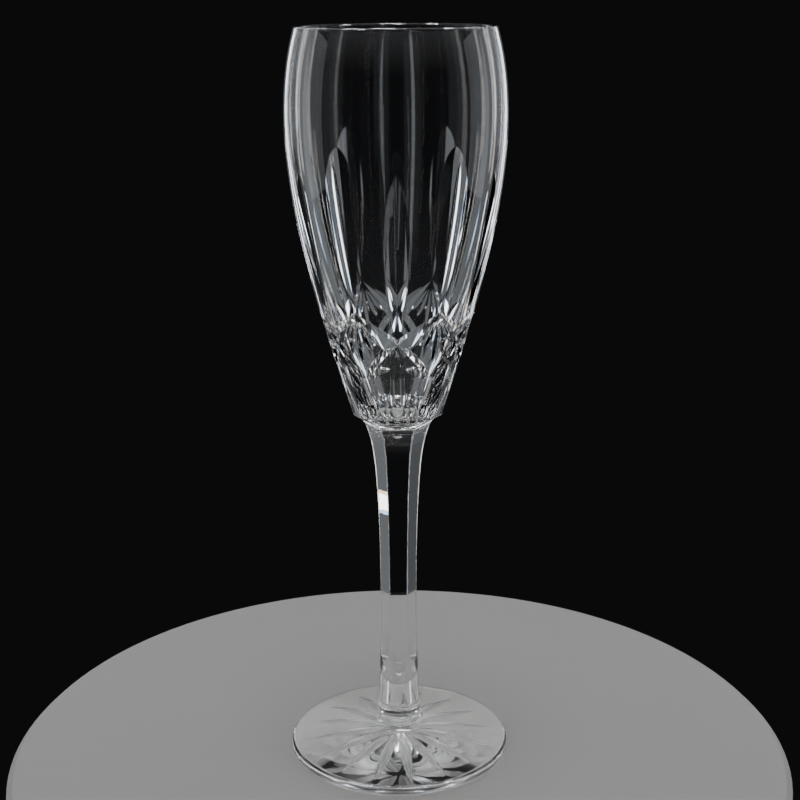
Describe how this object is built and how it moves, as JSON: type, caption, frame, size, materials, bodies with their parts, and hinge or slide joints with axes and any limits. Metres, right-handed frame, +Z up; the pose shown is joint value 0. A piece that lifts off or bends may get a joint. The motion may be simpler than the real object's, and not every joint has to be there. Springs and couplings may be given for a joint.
{
  "type": "champagne flute",
  "caption": "Tall cut-crystal champagne flute: deep tapered bowl with crossed mitre band and upright spear cuts, six-sided stem, wide star-cut foot.",
  "frame": {"origin": "centre of the foot's underside, on the surface the glass stands on", "axes": "+Z up along the glass's axis, -Y the front, towards the middle of one cross of the band and one flat of the stem"},
  "size_m": [0.0728, 0.0728, 0.236],
  "materials": {
    "crystal": "polished"
  },
  "bodies": {
    "root": {"bowl": "crystal", "stem": "crystal", "foot": "crystal"}
  },
  "joints": []
}
